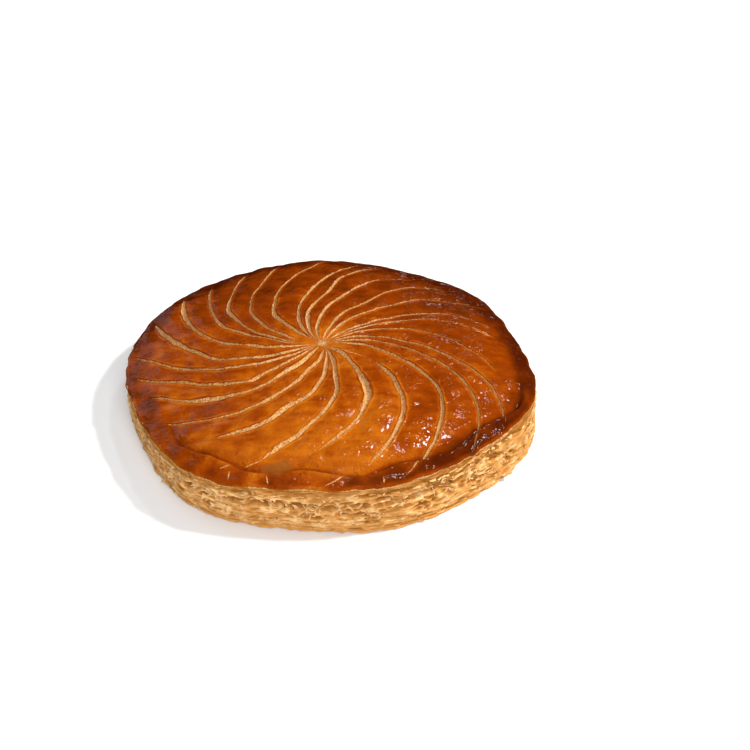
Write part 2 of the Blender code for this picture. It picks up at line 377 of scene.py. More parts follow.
def round_noise(sizes, angle, length, level):
    """Noise round the wall, at a length along it and at a level that picks its pattern."""
    x = sizes.radius * np.cos(angle) / length
    y = sizes.radius * np.sin(angle) / length
    return lumps(x, y, level, 1.0)


def outline_radius(sizes, angle):
    """Radius of the hand-cut disc at an angle about the middle of the cake."""
    return sizes.radius * (1.0 + waves(OUTLINE_WAVES, angle))


def about_swirl(distance, bearing):
    """Place at a distance and a bearing from the swirl centre."""
    return SWIRL_CENTRE[0] + distance * np.cos(bearing), SWIRL_CENTRE[1] + distance * np.sin(bearing)


def about_cake(radius, angle, height):
    """Places at a radius, an angle and a height on the cake, as rows of x, y and z."""
    return np.stack((radius * np.cos(angle), radius * np.sin(angle), height), axis=-1)


def reach(sizes, bearing):
    """Distance from the swirl centre to the outline along a bearing."""
    distance = np.full_like(bearing, sizes.radius)
    for _ in range(4):
        x, y = about_swirl(distance, bearing)
        distance += outline_radius(sizes, np.arctan2(y, x)) - np.hypot(x, y)
    return distance


def straight_bearing(cut, radius):
    """Bearing of a cut, in degrees, on straight stretches that run on past both ends."""
    places = sorted([*zip(CUT_RADII, cut.bearings), *cut.kinks])
    radii, bearings = zip(*places)
    low = (bearings[0] - bearings[1]) / (radii[1] - radii[0])
    high = (bearings[-1] - bearings[-2]) / (radii[-1] - radii[-2])
    first = bearings[0] + low * (radii[0] - TABLE_ENDS[0])
    last = bearings[-1] + high * (TABLE_ENDS[1] - radii[-1])
    return np.interp(radius, (TABLE_ENDS[0], *radii, TABLE_ENDS[1]), (first, *bearings, last))


def cut_bearings(numbers, radius):
    """Bearing of each numbered cut, in radians, at a distance from the swirl centre."""
    bearings = np.empty_like(radius)
    for number, cut in enumerate(CUTS):
        chosen = numbers == number
        steps = [straight_bearing(cut, radius[chosen] + CUT_EASING * step / 2.0) for step in range(-2, 3)]
        bearings[chosen] = sum(steps) / len(steps)
    wobble = np.sin(radius / 0.0037 + 2.1 * numbers) + np.sin(radius / 0.0061 + 4.7 * numbers)
    return np.radians(bearings) + 0.00018 * wobble / np.maximum(radius, 0.012)


def half_widths(numbers, radius, side):
    """Half the width of each numbered cut, ragged on its own at each side of the cut."""
    widths = np.array([cut.width for cut in CUTS])[numbers]
    for number, cut in enumerate(CUTS):
        for place, extra, length in cut.wide:
            widths = widths + (numbers == number) * extra * bell(radius - place, length)
    slow = lumps(radius, 0.030 * numbers, side, 0.0085)
    quick = lumps(radius, 0.010 * numbers, side + 0.5, 0.0026)
    return 0.5 * widths * (1.0 + 0.45 * slow + 0.40 * quick)


def cut_ends(numbers):
    """Distances from the swirl centre at which each numbered cut starts and ends."""
    return np.array([(cut.start, cut.end) for cut in CUTS])[numbers].T


def tapers(numbers, radius):
    """How full a cut's width is along it: 1 over most of it, narrowing to both of its ends."""
    start, end = cut_ends(numbers)
    inner = ease(start - 0.008, start + 0.008, radius)
    return np.maximum(inner * (1.0 - ease(end - 0.012, end + 0.003, radius)), 0.05)


def cut_strengths(numbers, radius):
    """How deep each numbered cut is along its length: 1 over most of it, fading at both ends."""
    start, end = cut_ends(numbers)
    return ease(start - CUT_FADE, start, radius) * (1.0 - ease(end - CUT_FADE, end, radius))


class Gap(NamedTuple):
    """The stretch of lid between two neighbouring cuts, for each point of the lid.

    It has their numbers, their bearings, its length from one to the other, and half their widths.
    """

    first: np.ndarray
    second: np.ndarray
    near: np.ndarray
    far: np.ndarray
    length: np.ndarray
    near_half: np.ndarray
    far_half: np.ndarray


def gap_at(first, radius):
    """The gap that follows each numbered cut, at a distance from the swirl centre."""
    second = (first + 1) % len(CUTS)
    near = cut_bearings(first, radius)
    far = cut_bearings(second, radius) + 2.0 * math.pi * (second < first)
    length = np.maximum(radius * (far - near), MERGE_DISTANCE)
    near_half = np.minimum(half_widths(first, radius, 0.0), GROOVE_LIMIT * length)
    far_half = np.minimum(half_widths(second, radius, 1.0), GROOVE_LIMIT * length)
    return Gap(first, second, near, far, length, near_half, far_half)


def column_bearing(column, radius):
    """Bearing of each mesh column: close together beside the grooves, wide apart between them."""
    first, step = np.divmod(column, COLUMNS_PER_CUT)
    gap = gap_at(first, radius)
    steps = np.array(GROOVE_STEPS)
    beside = len(GROOVE_STEPS) - 1
    low = steps[np.minimum(step, beside)] * gap.near_half
    high = gap.length - steps[np.minimum(COLUMNS_PER_CUT - step, beside)] * gap.far_half
    along = np.clip((step - beside) / (COLUMNS_PER_CUT - 2 * beside), 0.0, 1.0)
    return gap.near + (low + (high - low) * along) / gap.length * (gap.far - gap.near)


def groove_depth(across):
    """Depth of a groove at a distance from its middle given in half widths."""
    floor = np.clip(1.0 - across * across, 0.0, 1.0) ** 0.7
    shoulder = bell(across - 1.45, 0.42)
    return floor - 0.34 * shoulder


def crease(sizes, inset, angle, x, y):
    """Distance in from the wandering crease inside the lip, and how sharply it is folded."""
    wander = waves(CREASE_WAVES, angle) + 0.0009 * lumps(x, y, 0.7, 0.012)
    facing = np.cos(angle - math.radians(CREASE_FRONT))
    patchy = 0.85 + 0.5 * lumps(x, y, 2.7, 0.020)
    return inset - sizes.crease_inset - wander, ease(0.20, 0.80, facing) * patchy


def rim_level(sizes, inset, angle):
    """Height of the uneven rim, which levels out from the outline in to the middle."""
    return sizes.rim_height + waves(RIM_WAVES, angle) * (1.0 - inset / sizes.radius)


def lid_height(sizes, inset, angle, x, y):
    """Height of the unscored lid at a distance in from the outline."""
    height = rim_level(sizes, inset, angle)
    lip_width = sizes.lip_width * (1.0 + 0.35 * lumps(x, y, 4.4, 0.030))
    outward = 1.0 - np.clip(inset / lip_width, 0.0, 1.0)
    height += sizes.lip_rise * (1.0 - outward**2.2) ** 0.6
    off_crease, strength = crease(sizes, inset, angle, x, y)
    width = np.where(off_crease < 0.0, 0.0013, 0.0034)
    height -= sizes.crease_depth * strength * bell(off_crease, width)
    height += 0.0015 * strength * bell(off_crease + 0.0030, 0.0021)
    risen = np.clip((inset - 0.6 * sizes.crease_inset) / (sizes.radius - 0.6 * sizes.crease_inset), 0.0, 1.0)
    height += sizes.dome_rise * (1.0 - (1.0 - risen) ** 2.6)
    inner = ease(0.004, 0.020, inset)
    border = ease(0.0005, 0.004, inset)
    height += 0.0009 * lumps(x, y, 0.0, 0.035) * inner
    height += (0.0007 + 0.0009 * (1.0 - inner)) * lumps(x, y, 3.1, 0.015) * border
    near_rim = border * (1.0 - ease(0.010, 0.030, inset))
    wrinkle = 1.0 - np.abs(lumps(x + 0.004 * lumps(x, y, 1.9, 0.02), y, 5.3, 0.0120))
    return height + (0.0003 * border + 0.0005 * near_rim) * (wrinkle - 0.75)


def lid_points(sizes, radius, column):
    """Where points of the flat blank's top lie on the finished lid, and how they are baked."""
    distance = radius.copy()
    for _ in range(3):
        bearing = column_bearing(column, distance)
        distance = radius * reach(sizes, bearing) / sizes.radius
    x, y = about_swirl(distance, bearing)
    angle = np.arctan2(y, x)
    inset = outline_radius(sizes, angle) - np.hypot(x, y)
    gap = gap_at(column // COLUMNS_PER_CUT, distance)
    near_half = np.maximum(gap.near_half * tapers(gap.first, distance), MERGE_DISTANCE)
    far_half = np.maximum(gap.far_half * tapers(gap.second, distance), MERGE_DISTANCE)
    near_across = np.abs(distance * (bearing - gap.near) / near_half)
    far_across = np.abs(distance * (gap.far - bearing) / far_half)
    near_strength = cut_strengths(gap.first, distance)
    far_strength = cut_strengths(gap.second, distance)

    def stronger(profile):
        """The larger of what the two cuts beside each point give there."""
        return np.maximum(near_strength * profile(near_across), far_strength * profile(far_across))

    height = lid_height(sizes, inset, angle, x, y)
    narrow = np.minimum(distance * (gap.far - gap.near) / 0.008, 1.0)
    depth = sizes.cut_depth * narrow
    height -= depth * groove_depth(near_across) * near_strength
    height -= depth * groove_depth(far_across) * far_strength
    share = (bearing - gap.near) / (gap.far - gap.near)
    span = np.minimum(distance * (gap.far - gap.near) / 0.020, 1.0)
    across = np.sin(math.pi * np.clip(share, 0.0, 1.0)) ** 0.7
    border = sizes.radius - sizes.crease_inset
    height += sizes.swell * span * across * (1.0 - 0.55 * ease(border - 0.012, border, distance))
    height -= 0.0010 * bell(distance, 0.010)
    bare = stronger(lambda off: 1.0 - ease(0.65, 1.35, off))
    bare = np.maximum(bare, 0.62 * bell(distance, 0.0065))
    beside = stronger(lambda off: bell(off - 1.9, 1.0))
    edge = stronger(lambda off: bell(off - 1.3, 0.22))
    beside = beside * (1.0 - across**2) - 0.9 * edge + 1.3 * bell(distance, 0.017)
    places = np.stack((x, y, height), axis=-1)
    return places, bare, beside, inset, angle


def browning_and_shade(sizes, inset, angle, x, y, beside):
    """How brown the glaze is, from 0 to 1, with a painted shadow in the crease: the rim and the back are
    darkest.
    """
    ragged = inset + 0.005 * lumps(x, y, 7.0, 0.013) + 0.0015 * lumps(x, y, 6.0, 0.004)
    rim = 1.0 - ease(0.004, 0.017, ragged)
    far_side = ease(-0.03, 0.11, y)
    off_crease, strength = crease(sizes, inset, angle, x, y)
    brown = 0.29 + 0.04 * ease(0.0, 0.08, -x) + 0.13 * ease(0.0, 0.10, x) + 0.27 * far_side
    right_rim = 0.34 * ease(-0.2, 0.8, np.cos(angle + math.radians(20.0)))
    left_rim = 0.12 * ease(0.2, 1.0, -np.cos(angle))
    back_rim = 0.22 * ease(0.0, 1.0, np.sin(angle))
    brown += (0.20 + right_rim + left_rim + back_rim) * rim
    brown += 0.14 * lumps(x, y, 8.0, 0.022) + 0.10 * lumps(x, y, 9.0, 0.007)
    # Painted shadow: a dark line along the crease inside the lip, strongest where the fold is sharpest.
    brown += 0.30 * rim * lumps(x, y, 8.5, 0.011) + 0.55 * strength * bell(off_crease, 0.0016)
    brown -= 0.14 * ease(0.03, 0.10, -y) * bell(x - 0.01, 0.06) + 0.26 * beside
    return np.clip(brown, 0.0, 1.0)


def spun(points, columns, closed):
    """Spin a half section, given as radius and height, once round in wedges, and split the wedges."""
    form = bmesh.new()
    section = [form.verts.new((radius, 0.0, height)) for radius, height in points]
    edges = [form.edges.new(pair) for pair in zip(section, section[1:])]
    if closed:
        edges.append(form.edges.new((section[-1], section[0])))
    bmesh.ops.spin(
        form,
        geom=section + edges,
        cent=(0.0, 0.0, 0.0),
        axis=(0.0, 0.0, 1.0),
        angle=2.0 * math.pi,
        steps=columns // WEDGE_COLUMNS,
        use_merge=True,
    )
    bmesh.ops.remove_doubles(form, verts=form.verts, dist=MERGE_DISTANCE)
    wedge = 2.0 * math.pi * WEDGE_COLUMNS / columns
    across = [edge for edge in form.edges if runs_round(edge, wedge)]
    bmesh.ops.subdivide_edges(form, edges=across, cuts=WEDGE_COLUMNS - 1)
    bmesh.ops.recalc_face_normals(form, faces=form.faces)
    return form


def runs_round(edge, wedge):
    """True for an edge that joins the same point of two neighbouring sections."""
    first, second = (vertex.co for vertex in edge.verts)
    level = abs(first.z - second.z) <= MERGE_DISTANCE
    off_axis = min(first.xy.length, second.xy.length) > 10.0 * MERGE_DISTANCE
    turn = abs(math.atan2(first.y, first.x) - math.atan2(second.y, second.x))
    return level and off_axis and min(turn, 2.0 * math.pi - turn) > 0.5 * wedge


def places_of(form):
    """Places of a bmesh's vertices, as rows of x, y and z."""
    return np.array([vertex.co[:] for vertex in form.verts])


def polar(places, columns):
    """Column number, angle and radius of points of a spun blank, with its chords made arcs."""
    turn = np.arctan2(places[:, 1], places[:, 0]) / (2.0 * math.pi)
    column = np.round(turn * columns).astype(int) % columns
    along = (column % WEDGE_COLUMNS) / WEDGE_COLUMNS
    wedge = 2.0 * math.pi * WEDGE_COLUMNS / columns
    chord = np.sqrt(1.0 - 2.0 * along * (1.0 - along) * (1.0 - math.cos(wedge)))
    return column, 2.0 * math.pi * column / columns, np.hypot(places[:, 0], places[:, 1]) / chord


def joined(forms):
    """One bmesh that holds all the given ones, in their order."""
    whole = bmesh.new()
    for form in forms:
        part = bpy.data.meshes.new("part")
        form.to_mesh(part)
        form.free()
        whole.from_mesh(part)
        bpy.data.meshes.remove(part)
    return whole


def finish_piece(name, form, places, features, material):
    """Make a piece from a baked bmesh: its places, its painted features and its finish."""
    shifted = places + np.array((*OUTLINE_SHIFT, 0.0))
    for vertex, place in zip(form.verts, shifted.tolist()):
        vertex.co = place
    bmesh.ops.recalc_face_normals(form, faces=form.faces)
    mesh = bpy.data.meshes.new(name)
    form.to_mesh(mesh)
    form.free()
    for feature, amounts in features.items():
        kind, entry = ("FLOAT", "value") if amounts.ndim == 1 else ("FLOAT_VECTOR", "vector")
        layer = mesh.attributes.new(feature, kind, "POINT")
        layer.data.foreach_set(entry, np.ascontiguousarray(amounts, dtype=np.float32).ravel())
    mesh.shade_smooth()
    mesh.materials.append(material)
    piece = bpy.data.objects.new(name, mesh)
    bpy.context.scene.collection.objects.link(piece)
    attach(piece, "root")
    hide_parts(NODE)
    return piece


class Value:
    """A number that varies over a surface: Python arithmetic on it adds Math nodes."""

    def __init__(self, finish, output):
        self.finish = finish
        self.output = output

    def math(self, operation, first, second):
        made = self.finish.node("ShaderNodeMath", {"operation": operation}, {0: first, 1: second})
        return Value(self.finish, made.outputs[0])

    def __add__(self, other):
        return self.math("ADD", self, other)

    def __radd__(self, other):
        return self.math("ADD", other, self)

    def __sub__(self, other):
        return self.math("SUBTRACT", self, other)

    def __rsub__(self, other):
        return self.math("SUBTRACT", other, self)

    def __mul__(self, other):
        return self.math("MULTIPLY", self, other)

    def __rmul__(self, other):
        return self.math("MULTIPLY", other, self)

    def ease(self, low, high):
        """Smooth step of this value from 0 at low to 1 at high."""
        settings = {"interpolation_type": "SMOOTHSTEP"}
        sockets = {"Value": self, "From Min": low, "From Max": high}
        made = self.finish.node("ShaderNodeMapRange", settings, sockets)
        return Value(self.finish, made.outputs[0])


class Finish:
    """The material of one kind of surface, made node by node."""

    def __init__(self, name, constants):
        self.material = bpy.data.materials.new(name)
        self.material.use_nodes = True
        self.tree = self.material.node_tree
        self.shader = self.tree.nodes["Principled BSDF"]
        self.coordinates = self.node("ShaderNodeTexCoord").outputs["Object"]
        for socket, constant in constants.items():
            self.shader.inputs[socket].default_value = constant

    def node(self, kind, settings=None, sockets=None):
        """Add a node: its settings first, and then the values or links of its sockets."""
        made = self.tree.nodes.new(kind)
        for setting, choice in (settings or {}).items():
            if setting == "stops":
                self.set_stops(made.color_ramp, choice)
            else:
                setattr(made, setting, choice)
        for socket, given in (sockets or {}).items():
            self.feed(made.inputs[socket], given)
        return made

    def set_stops(self, ramp, stops):
        """Give a colour ramp its stops, each a place and a colour."""
        while len(ramp.elements) < len(stops):
            ramp.elements.new(1.0)
        for element, (place, colour) in zip(ramp.elements, stops):
            element.position = place
            element.color = (*colour, 1.0)

    def feed(self, socket, given):
        """Link a value or an output to a socket, or set the socket to a constant."""
        if isinstance(given, Value):
            given = given.output
        if isinstance(given, bpy.types.NodeSocket):
            self.tree.links.new(given, socket)
        else:
            socket.default_value = given

    def noise(self, length, detail=3.0, stretch=(1.0, 1.0, 1.0), grain=False):
        """Noise from 0 to 1 with lumps of the given length, drawn out along an axis by its stretch."""
        scale = tuple(1.0 / (length * amount) for amount in stretch)
        places = self.painted("grain").outputs["Vector"] if grain else self.coordinates
        mapping = self.node("ShaderNodeMapping", None, {"Vector": places, "Scale": scale})
        sockets = {"Vector": mapping.outputs[0], "Scale": 1.0, "Detail": detail}
        return Value(self, self.node("ShaderNodeTexNoise", None, sockets).outputs[0])

    def spots(self, length):
        """Distance to the nearest of scattered points, from 0 at a point, in spot lengths."""
        sockets = {"Vector": self.coordinates, "Scale": 1.0 / length}
        return Value(self, self.node("ShaderNodeTexVoronoi", None, sockets).outputs["Distance"])

    def painted(self, name):
        """The node that reads an attribute painted on the mesh."""
        return self.node("ShaderNodeAttribute", {"attribute_name": name})

    def feature(self, name):
        """A feature painted on the mesh."""
        return Value(self, self.painted(name).outputs["Fac"])

    def ramp(self, value, stops):
        """A colour that runs through the stops as the value goes from 0 to 1."""
        return self.node("ShaderNodeValToRGB", {"stops": stops}, {"Fac": value}).outputs["Color"]

    def blend(self, low, high, share):
        """A colour between two others: the first where the share is 0, the second where it is 1."""
        made = self.node("ShaderNodeMix", {"data_type": "RGBA"}, {0: share, 6: low, 7: high})
        return made.outputs[2]

    def bump(self, height, distance):
        """Fine relief from a height of 0 to 1, over a distance in metres."""
        made = self.node("ShaderNodeBump", None, {"Height": height, "Distance": distance})
        return made.outputs["Normal"]

    def use(self, **sockets):
        """Feed the shader's sockets."""
        for name, given in sockets.items():
            self.feed(self.shader.inputs[name.replace("_", " ")], given)
        return self.material


def opaque(colour):
    """A colour property as a socket takes it."""
    return (*colour, 1.0)


def glaze(colours):
    """Egg-wash glaze, mottled amber to mahogany, with bare rough dough where the knife went."""
    finish = Finish("glazed_crust", {"IOR": 1.45, "Specular IOR Level": 0.42})
    mottle = finish.noise(0.0085, 8.0)
    streak = finish.noise(0.0060, 5.0, (1.8, 0.8, 1.0))
    freckle = finish.noise(0.0012, 3.0)
    speck = 1.0 - finish.spots(0.0085).ease(0.03, 0.09)
    # The brown feature holds the glaze's browning and the painted shadow in the crease.
    brown = finish.feature("brown") + 0.42 * (mottle - 0.5) + 0.34 * (streak - 0.5)
    brown = brown + 0.22 * (freckle - 0.5) + 0.30 * speck
    auburn = tuple(0.55 * dark + 0.32 * mid for dark, mid in zip(colours.mahogany, colours.chestnut))
    stops = ((0.02, colours.amber), (0.36, colours.chestnut), (0.70, auburn), (1.0, colours.mahogany))
    dull = finish.feature("dull")
    dull_glaze = tuple(0.45 * glossy + 0.04 * dough for glossy, dough in zip(colours.amber, colours.dough))
    crust = finish.blend(finish.ramp(brown, stops), opaque(dull_glaze), 0.80 * dull)
    crumb = finish.noise(0.0010, 4.0)
    dark_dough = tuple(share * channel for share, channel in zip((0.55, 0.42, 0.25), colours.dough))
    dough = finish.blend(opaque(dark_dough), opaque(colours.dough), crumb.ease(0.40, 0.58))
    bare = (finish.feature("bare") + 0.60 * (crumb - 0.5)).ease(0.38, 0.62)
    rough_patch = finish.noise(0.014, 3.0).ease(0.46, 0.60)
    peel = finish.noise(0.0028, 1.3) * (0.60 + 2.0 * rough_patch)
    relief = peel * (1.0 - bare) + 3.5 * crumb * bare + 1.3 * finish.noise(0.0060, 1.0)
    return finish.use(
        Base_Color=finish.blend(crust, dough, bare),
        Roughness=0.09 + 0.06 * (mottle - 0.5) + 0.55 * bare,
        Normal=finish.bump(relief, 0.00036),
    )


def pastry(colours):
    """Leaves of puff pastry: pale and matt and toasted in streaks, tinted golden in the hollows and darkened
    there by painted shade.
    """
    finish = Finish("flaky_wall", {"IOR": 1.45, "Specular IOR Level": 0.30})
    streak = finish.noise(0.0100, 3.0, (1.0, 1.0, 0.13), grain=True)
    patch = finish.noise(0.0070, 8.0, (1.0, 1.0, 0.6), grain=True)
    toast = 0.30 + 0.12 * (streak - 0.5) + 1.5 * (patch - 0.5)
    # The hollows tint the pastry golden and darken it with painted shade. The toast feature adds toasting, a
    # painted shadow under the lid and paler torn ridges.
    toast = toast + 0.80 * finish.feature("hollow") + 0.50 * finish.feature("toast")
    stops = ((0.08, colours.pale_leaf), (0.42, colours.golden_leaf), (1.0, colours.toasted_leaf))
    crinkle = finish.noise(0.0026, 4.0, (1.0, 1.0, 0.7), grain=True)
    return finish.use(
        Base_Color=finish.ramp(toast, stops),
        Roughness=0.48 + 0.24 * (streak - 0.5),
        Normal=finish.bump(crinkle, 0.00080),
    )


def baked_bottom(colours):
    """The base that sat on the oven tray: browner, with dark spots and a dry, dusty surface."""
    finish = Finish("baked_base", {"IOR": 1.45, "Specular IOR Level": 0.3})
    patch = finish.noise(0.016, 4.0)
    spot = 1.0 - finish.spots(0.009).ease(0.10, 0.34)
    toast = 0.42 + 0.9 * (patch - 0.5) + 0.30 * spot * finish.noise(0.03).ease(0.45, 0.6)
    toast = toast - 0.45 * finish.feature("edge")
    stops = ((0.1, colours.golden_leaf), (0.55, colours.toasted_leaf), (1.0, colours.chestnut))
    return finish.use(
        Base_Color=finish.ramp(toast, stops),
        Roughness=0.62 + 0.2 * (patch - 0.5),
        Normal=finish.bump(finish.noise(0.0021, 4.0) + 0.5 * spot, 0.00035),
    )


def floor_paint(colours):
    """Matt white paint of the floor, very slightly uneven."""
    finish = Finish("floor_paint", {"Specular IOR Level": 0.2})
    uneven = finish.noise(0.05, 2.0)
    shaded = tuple(0.985 * channel for channel in colours.floor)
    return finish.use(
        Base_Color=finish.blend(opaque(shaded), opaque(colours.floor), uneven),
        Roughness=0.75 + 0.05 * uneven,
    )


def lid_section(sizes):
    """Half section of the lid's blank: over the top, down its skirt and back underneath."""
    dome_edge = sizes.radius - BORDER_WIDTH
    dome = [FIRST_RING + (dome_edge - FIRST_RING) * (ring / DOME_RINGS) for ring in range(DOME_RINGS)]
    border = [dome_edge + BORDER_WIDTH * ring / BORDER_RINGS for ring in range(BORDER_RINGS + 1)]
    top = [(radius, sizes.rim_height) for radius in (0.0, *dome, *border)]
    skirt = [(sizes.radius, sizes.rim_height - SKIRT_STEP * row) for row in range(1, SKIRT_ROWS + 1)]
    underside = sizes.rim_height - SKIRT_STEP * SKIRT_ROWS
    return top + skirt + [(sizes.radius - 0.006, underside), (0.0, underside)]


def make_lid(sizes, colours):
    """Model the lid: domed, scored in a swirl, with a rounded rim and a thin pale skirt."""
    columns = COLUMNS_PER_CUT * len(CUTS)
    form = spun(lid_section(sizes), columns, closed=False)
    blank = places_of(form)
    column, _, radius = polar(blank, columns)
    places, bare, beside, inset, angle = lid_points(sizes, radius, column)
    below = sizes.rim_height - blank[:, 2]
    skirt = below > MERGE_DISTANCE
    outward = np.hypot(places[:, 0], places[:, 1])
    ragged = 0.0005 * round_noise(sizes, angle, 0.006, 2.0)
    pull = 1.0 - 0.25 * (below / 0.0024) ** 2 * 0.0024 / np.maximum(outward, 0.01)
    pull = np.where(skirt, pull, 1.0)
    frayed = 0.0015 * round_noise(sizes, angle, 0.012, 3.0) + 0.0005 * round_noise(sizes, angle, 0.0035, 4.0)
    pull += frayed * (1.0 - ease(0.0, 0.004, inset)) / np.maximum(outward, 0.01)
    places[:, 0] *= pull
    places[:, 1] *= pull
    places[:, 2] -= below + np.where(skirt, ragged, 0.0)
    middle = radius < MERGE_DISTANCE
    places[middle, :2] = SWIRL_CENTRE
    inner = skirt & (radius < sizes.radius - 0.001)
    places[inner, 2] = rim_level(sizes, inset, angle)[inner] - 0.0034
    x, y = places[:, 0], places[:, 1]
    brown = browning_and_shade(sizes, inset, angle, x, y, beside)
    edge = below - np.clip(inset, 0.0, 0.003) + 0.0005 * round_noise(sizes, angle, 0.005, 5.0)
    edge += 0.0018 * round_noise(sizes, angle, 0.016, 6.0)
    brown = brown * (1.0 - 0.6 * ease(-0.0022, 0.0008, edge))
    off_patch = np.hypot(
        (x - DULL_PATCH_MIDDLE[0]) / DULL_PATCH_SIZE[0], (y - DULL_PATCH_MIDDLE[1]) / DULL_PATCH_SIZE[1]
    )
    off_patch += 0.9 * lumps(x, y, 11.0, 0.006)
    features = {
        "bare": np.maximum(bare, 0.8 * ease(0.0001, 0.0012, edge)),
        "brown": brown,
        "dull": 1.0 - ease(0.8, 1.15, off_patch),
    }
    return finish_piece("glazed_lid", form, places, features, glaze(colours))


def stroke_strip(stroke, lid_tree, draw):
    """A thin ragged strip that lies on the lid from one end of a stroke to the other."""
    start = Vector((*stroke.start, 0.0))
    run = Vector((*stroke.end, 0.0)) - start
    side = Vector((-run.y, run.x, 0.0)).normalized()
    form = bmesh.new()
    bmesh.ops.create_grid(form, x_segments=3, y_segments=12, size=0.5)
    shift = Vector((*OUTLINE_SHIFT, 0.0))
    for vertex in form.verts:
        along = vertex.co.y + 0.5
        across = vertex.co.x * 2.0
        width = STROKE_WIDTH * (4.0 * along * (1.0 - along)) ** 0.6 * draw.uniform(0.6, 1.1)
        spot = start + run * along + side * (0.5 * width * across)
        hit = lid_tree.ray_cast(spot + shift + Vector((0.0, 0.0, 0.1)), Vector((0.0, 0.0, -1.0)))[0]
        spot.z = hit.z + 0.4 * STROKE_THICKNESS * (1.0 - abs(across))
        vertex.co = spot
    bmesh.ops.solidify(form, geom=form.faces, thickness=STROKE_THICKNESS)
    return form


def make_strokes(colours, lid):
    """Model the cracks and scratches of the glaze, as one piece laid on the lid."""
    lid_tree = BVHTree.FromObject(lid, bpy.context.evaluated_depsgraph_get())
    draw = np.random.default_rng(STROKE_SEED)
    whole = joined(stroke_strip(stroke, lid_tree, draw) for stroke in STROKES)
    places = places_of(whole)
    none = np.zeros(len(places))
    features = {"bare": none + STROKE_BARENESS, "brown": none, "dull": none}
    finish_piece("glaze_cracks", whole, places, features, glaze(colours))


def pockets(sizes, number):
    """Where each pocket of a seam ends, as an angle, and its share of the tallest pocket's height."""
    seam = SEAMS[number]
    draw = np.random.default_rng(POCKET_SEED + number)
    count = round(4.0 * math.pi * sizes.radius / (seam.shortest + seam.longest))
    lengths = draw.uniform(seam.shortest, seam.longest, count)
    ends = 2.0 * math.pi * (np.cumsum(lengths) / lengths.sum() - 0.5)
    shares = draw.uniform(0.50, 1.0, count) * (draw.random(count) > seam.closed)
    return ends, shares


def opening(sizes, angle, number):
    """Half the height to which a seam has opened, and how far it drifts up or down."""
    ends, shares = pockets(sizes, number)
    starts = np.concatenate(([-math.pi], ends[:-1]))
    turned = np.mod(angle + math.pi, 2.0 * math.pi) - math.pi
    pocket = np.minimum(np.searchsorted(ends, turned, side="right"), len(ends) - 1)
    along = 2.0 * (turned - starts[pocket]) / (ends[pocket] - starts[pocket]) - 1.0
    lens = 1.0 - np.abs(along) ** 2.6
    drift = 0.0014 * round_noise(sizes, angle, 0.026, 9.0 + number)
    return SEAMS[number].half_height * shares[pocket] * lens, drift


def wall_radius(sizes, angle, share):
    """Radius of the wall at a share of its height, before its layers are cut into it."""
    flare = (0.0006 + waves(FLARE_WAVES, angle)) * (1.0 - share)
    tuck = 0.0012 * (1.0 - ease(0.0, 0.0030, share * sizes.rim_height))
    return outline_radius(sizes, angle) + flare - tuck


def wall_top(sizes, angle):
    """Height at which the wall stops, just under the glaze's edge."""
    return sizes.rim_height + waves(RIM_WAVES, angle) - WALL_DROP


def wall_relief(sizes, angle, height):
    """Relief of the wall: lens-shaped pockets at its seams, stacked layers and torn cells elsewhere.

    The second result is how deep in a hollow each point lies, which tints it golden and darkens it with
    painted shade in cracks, inside torn cells and in pockets, most under a pocket's upper edge. The third
    is how toasted its layer is, with the torn ridges paler, partly as pale thin pastry and partly as a
    painted highlight, and the fourth is its place in the grain, which follows the layers up and down.
    """
    x = sizes.radius * np.cos(angle)
    y = sizes.radius * np.sin(angle)
    warp = 0.0013 * lumps(x, y, height, 0.013) + 0.0016 * round_noise(sizes, angle, 0.035, 40.0)
    warp += 0.0007 * lumps(x, y, 1.6 * height, 0.0042)
    level = (height + warp) / LAYER_THICKNESS
    layer = np.floor(level)
    border = np.round(level)
    stands = lumps(x, y, 0.020 * 1.7 * layer, 0.020)
    parted = ease(-0.05, 0.25, lumps(x, y, 0.009 * 2.3 * border, 0.009))
    crack = parted * bell(level - border, 0.20)
    nudge = 0.0018 * lumps(x, y, height, 0.0050)
    inside_cell = ease(0.03, 0.34, cell_depth(x + nudge, y - nudge, height + warp, 0.0090, 0.27))
    torn = ease(0.0050, 0.0090, height) * (1.0 - ease(0.0225, 0.0255, height))
    torn *= ease(-0.35, 0.20, lumps(x, y, 0.7 * height + 0.2, 0.014))
    crack = crack * (1.0 - 0.8 * torn)
    relief = 0.0007 * lumps(x, y, 0.8 * height + 0.1, 0.014) + 0.0008 * (1.0 - 0.6 * torn) * stands
    relief += 0.00022 * lumps(x, y, 1.4 * height, 0.0022) - 0.0017 * crack - 0.0021 * torn * inside_cell
    # Painted shade: cracks between layers and the insides of torn cells are darkened.
    hollow = np.maximum(0.75 * crack, 0.75 * torn * inside_cell)
    for number, seam in enumerate(SEAMS):
        half, drift = opening(sizes, angle, number)
        up = (height - seam.level - drift) / np.maximum(half, 1e-5)
        inside = np.clip(1.0 - up * up, 0.0, 1.0) ** 0.8
        full = np.minimum(1.8 * half / seam.half_height, 1.0)
        relief = relief * (1.0 - 0.95 * inside) - seam.depth * full * inside
        # Inside a pocket the pastry is tinted golden, and painted shade darkens it towards the pocket's
        # upper edge.
        hollow = hollow * (1.0 - inside) + full * inside * (0.35 + 0.85 * ease(-0.1, 0.6, up))
    grain = np.stack((x, y, height + warp), axis=-1)
    # Torn ridges between cells are made paler: partly the pale thin pastry, partly a painted highlight where
    # the relief stands out.
    toast = 0.4 * lumps(x, y, 0.013 * 2.9 * layer, 0.016) - 0.50 * torn * (1.0 - inside_cell) ** 2
    return relief, hollow, toast, grain


def wall_section(sizes):
    """Closed cross-section of the wall's ring, dense on its outside."""
    shares = [1.0 - row / WALL_ROWS for row in range(WALL_ROWS + 1)]
    outside = [(sizes.radius, sizes.rim_height * share) for share in shares]
    inner_radius = sizes.radius - WALL_THICKNESS
    return outside + [(inner_radius, 0.0), (inner_radius, sizes.rim_height)]


